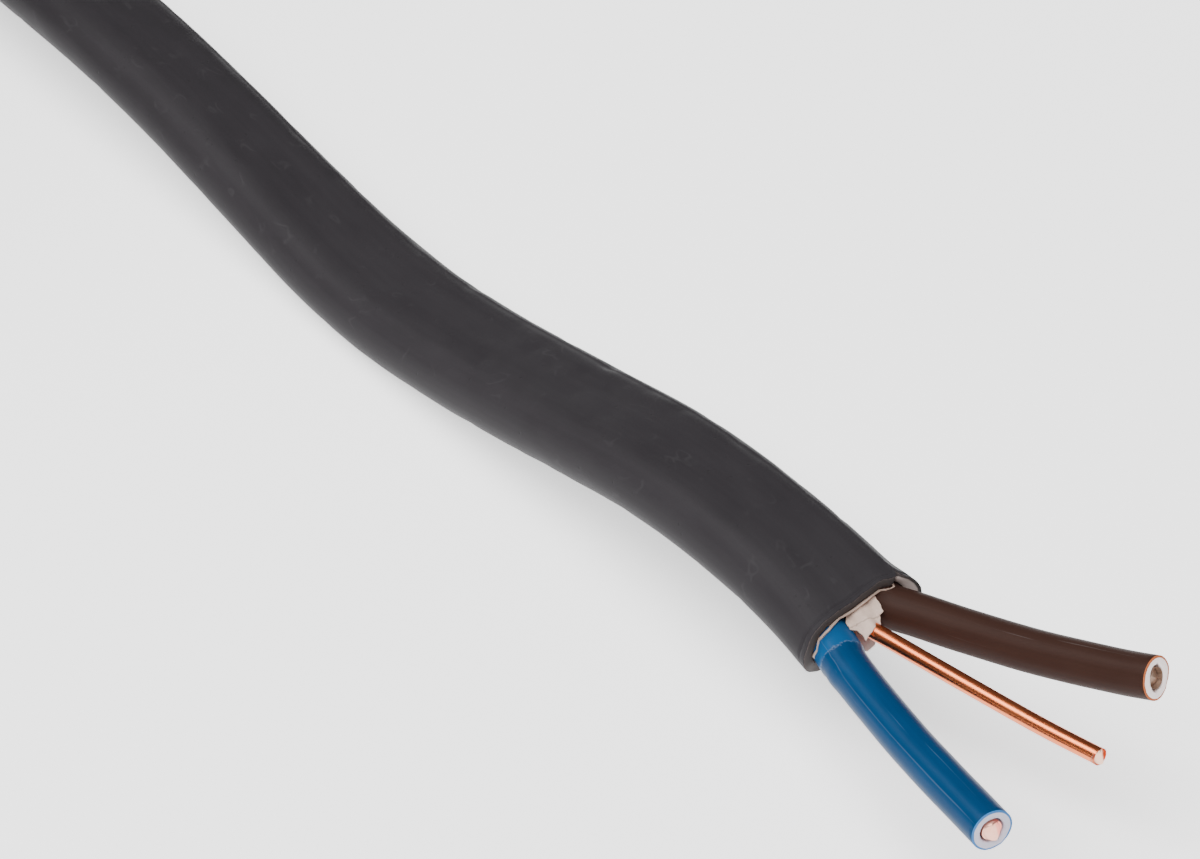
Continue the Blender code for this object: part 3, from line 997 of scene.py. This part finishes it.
def wire_shape(frames, distances, diameter, past_end, ridge_height, ridge_turn, pinch=0):
    """A wire whose end, so far past the last section, the cutters pinched to a ridge this high.
    The ridge stands square to its turn, and the end is this share narrower across it."""
    radius = diameter / 2
    across = Vector((math.cos(ridge_turn), math.sin(ridge_turn), 0))
    round_outline = circle(radius, wire_sides)
    loops = [(section, distance, round_outline) for section, distance in zip(frames, distances)]
    end, length = frames[-1], distances[-1]
    pulled = [point - across * point.dot(across) * pinch for point in round_outline]
    # Each ring's share of the wire's radius, and mm forwards
    tip = ((1.0, -0.06), (0.97, -0.02), (0.9, 0.0), (0.6, 0.0), (0.3, 0.0), (0.06, 0.0))
    for share, forward in tip:
        ring = []
        for point in pulled:
            inner = point * share
            height = past_end + ridge_height * (1 - abs(inner.dot(across)) / radius)
            rough = noise.noise(Vector((inner.x / MM * 4, inner.y / MM * 4, ridge_turn)))
            ring.append(inner + Vector((0, 0, height + (forward + 0.02 * rough) * MM)))
        loops.append((end, length, ring, [1] * len(ring)))
    shape = sweep(loops)
    bmesh.ops.holes_fill(shape, edges=[e for e in shape.edges if e.is_boundary])
    return shape


copper = Finish("bright_copper", Metallic=1.0)
place = copper.straight()
drawing = copper.cloud(copper.stretched(place, (14, 14, 0.02)), 1.0, 1)
tarnish = copper.cloud(copper.stretched(place, (1.2, 1.2, 0.5)), 1.0, 3)
tint = copper.mix(tarnish, (0.88, 0.2, 0.07), (0.96, 0.28, 0.11))
copper.set(Base_Color=copper.mix(copper.cut(), tint, (0.95, 0.62, 0.46)))
copper.set(Roughness=0.2 + 0.12 * tarnish + 0.25 * copper.cut())
copper.set(Normal=copper.bump(drawing, 0.006 * MM, 0.3))

earth_shape = wire_shape(
    *core_frames(0.0, across=0.0, up=0.6 * MM, points=earth_route),
    earth_diameter,
    past_end=-0.25 * MM,
    ridge_height=0.4 * MM,
    ridge_turn=math.radians(20),
)
earth_wire = new_piece("earth_wire", earth_shape, copper.material)
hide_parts("earth_conductor")

dull_copper = Finish("dull_copper", Metallic=0.7, Roughness=0.5)
place = dull_copper.straight()
dirt = dull_copper.cloud(place, 3.0, 3)
dull_copper.set(Base_Color=dull_copper.mix(dirt, (0.25, 0.15, 0.1), (0.5, 0.36, 0.28)))
dull_copper.set(Normal=dull_copper.bump(dirt, 0.05 * MM))
brown_wire_shape = wire_shape(
    brown_frames,
    brown_distances,
    wire_diameter,
    past_end=-0.5 * MM,
    ridge_height=0.2 * MM,
    ridge_turn=math.radians(60),
    pinch=0.1,
)
brown_wire = new_piece("brown_wire", brown_wire_shape, dull_copper.material)
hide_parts("brown_conductor")

pale_copper = Finish("pale_copper", Metallic=1.0, Roughness=0.38)
place = pale_copper.straight()
smear = pale_copper.cloud(place, 2.2, 3)
across, through, _ = pale_copper.parts(place)
# Painted shade: the side of the blue wire's tip past the ridge is painted redder and darker
painted_shade_past_ridge = (0.9 * across + 0.42 * through).above(0.16, 0.3)
pale = pale_copper.mix(smear, (0.85, 0.38, 0.26), (0.97, 0.6, 0.48))
pale_copper.set(Base_Color=pale_copper.mix(0.7 * painted_shade_past_ridge, pale, (0.9, 0.26, 0.2)))
pale_copper.set(Normal=pale_copper.bump(smear, 0.05 * MM))
blue_wire_shape = wire_shape(
    blue_frames,
    blue_distances,
    wire_diameter,
    past_end=0.0,
    ridge_height=0.32 * MM,
    ridge_turn=math.radians(25),
    pinch=0.16,
)
blue_wire = new_piece("blue_wire", blue_wire_shape, pale_copper.material)
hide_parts("blue_conductor")

# Three ties of natural nylon hold the coil's turns together. Each is a ribbed strap, pulled
# tight round the bundle through the head on its own end, and cut off just past the head.
tie_width = 2.5 * MM
tie_thickness = 1.0 * MM
tie_corner = 2.5 * MM
strap_clearance = 0.02 * MM
corner_steps = 8
head_size = Vector((3.2, 4.6, 5.0)) * MM
head_sunk = 0.3 * MM
head_rounding = 0.5 * MM
tail_size = (tie_thickness, 0.95 * tie_width, 12 * MM)
tail_up = 0.5 * MM
tail_rounding = 0.2 * MM
rib_size = (0.16 * MM, 0.6 * tie_width, 0.2 * MM)
rib_rounding = 0.03 * MM
rib_pitch = 0.42 * MM
first_rib_up = 1.2 * MM
ribs = 12
bundle_half_across = (layer_pitch - tie_closing) * (layers - 1) / 2 + half_thickness
bundle_low = tie_lift
bundle_high = tie_lift + (row_pitch - tie_closing) * (rows - 1) + 2 * half_width


def strap_outline(grown):
    """A rounded box round the bundle, so much bigger than the bundle itself."""
    half_up = (bundle_high - bundle_low) / 2
    corner = tie_corner + grown
    points = []
    for quarter in range(4):
        sign_x = 1 if quarter in (0, 3) else -1
        sign_z = 1 if quarter in (0, 1) else -1
        middle = Vector(
            (sign_x * (bundle_half_across + grown - corner), 0, sign_z * (half_up + grown - corner))
        )
        for i in range(corner_steps + 1):
            angle = math.pi / 2 * (quarter + i / corner_steps)
            points.append(middle + corner * Vector((math.cos(angle), 0, math.sin(angle))))
    return points


def block(bm, out, up, size, rounding):
    """A box with rounded edges, its middle so far out from the bundle's middle and so far up."""
    stand = Matrix.Translation((out, 0, up)) @ Matrix.Diagonal((*size, 1))
    made = bmesh.ops.create_cube(bm, size=1, matrix=stand)
    edges = list(dict.fromkeys(edge for vert in made["verts"] for edge in vert.link_edges))
    bmesh.ops.bevel(
        bm, geom=edges, offset=rounding, segments=3, profile=0.5, affect="EDGES", material=-1
    )


nylon = Finish("tie_nylon", Roughness=0.42)
place = nylon.node("TexCoord", {}, {}, "Object")
cloudy = nylon.cloud(place, 400, 3)
nylon.set(Base_Color=nylon.mix(cloudy, (0.68, 0.66, 0.6), (0.8, 0.79, 0.74)))
nylon.set(Normal=nylon.bump(cloudy, 0.02 * MM, 0.4))

for number, angle in enumerate(tie_angles, start=1):
    middle = Vector((coil_mean_radius, 0, (bundle_low + bundle_high) / 2))
    stand = (
        Matrix.Translation((coil_axis.x, coil_axis.y, 0))
        @ Matrix.Rotation(angle, 4, "Z")
        @ Matrix.Translation(middle)
    )
    tie_shape = bmesh.new()
    loops = []
    for grown in (strap_clearance, tie_thickness):
        verts = [tie_shape.verts.new(point) for point in strap_outline(grown)]
        loops += [tie_shape.edges.new(pair) for pair in zip(verts, verts[1:] + verts[:1])]
    bmesh.ops.bridge_loops(tie_shape, edges=loops)
    bmesh.ops.translate(tie_shape, verts=tie_shape.verts, vec=(0, -tie_width / 2, 0))
    swept = bmesh.ops.extrude_face_region(tie_shape, geom=tie_shape.faces[:])["geom"]
    moved = [item for item in swept if isinstance(item, bmesh.types.BMVert)]
    bmesh.ops.translate(tie_shape, verts=moved, vec=(0, tie_width, 0))
    bmesh.ops.recalc_face_normals(tie_shape, faces=tie_shape.faces)
    head_out = bundle_half_across + tie_thickness - head_sunk + head_size.x / 2
    block(tie_shape, head_out, 0, head_size, head_rounding)
    block(tie_shape, head_out, tail_up, tail_size, tail_rounding)
    for i in range(ribs):
        rib_up = first_rib_up + rib_pitch * i
        block(tie_shape, head_out + tie_thickness / 2, rib_up, rib_size, rib_rounding)
    bmesh.ops.transform(tie_shape, matrix=stand, verts=tie_shape.verts)
    tie = new_piece(f"nylon_tie_{number}", tie_shape, nylon.material)
    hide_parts(f"coil_tie_{number}")
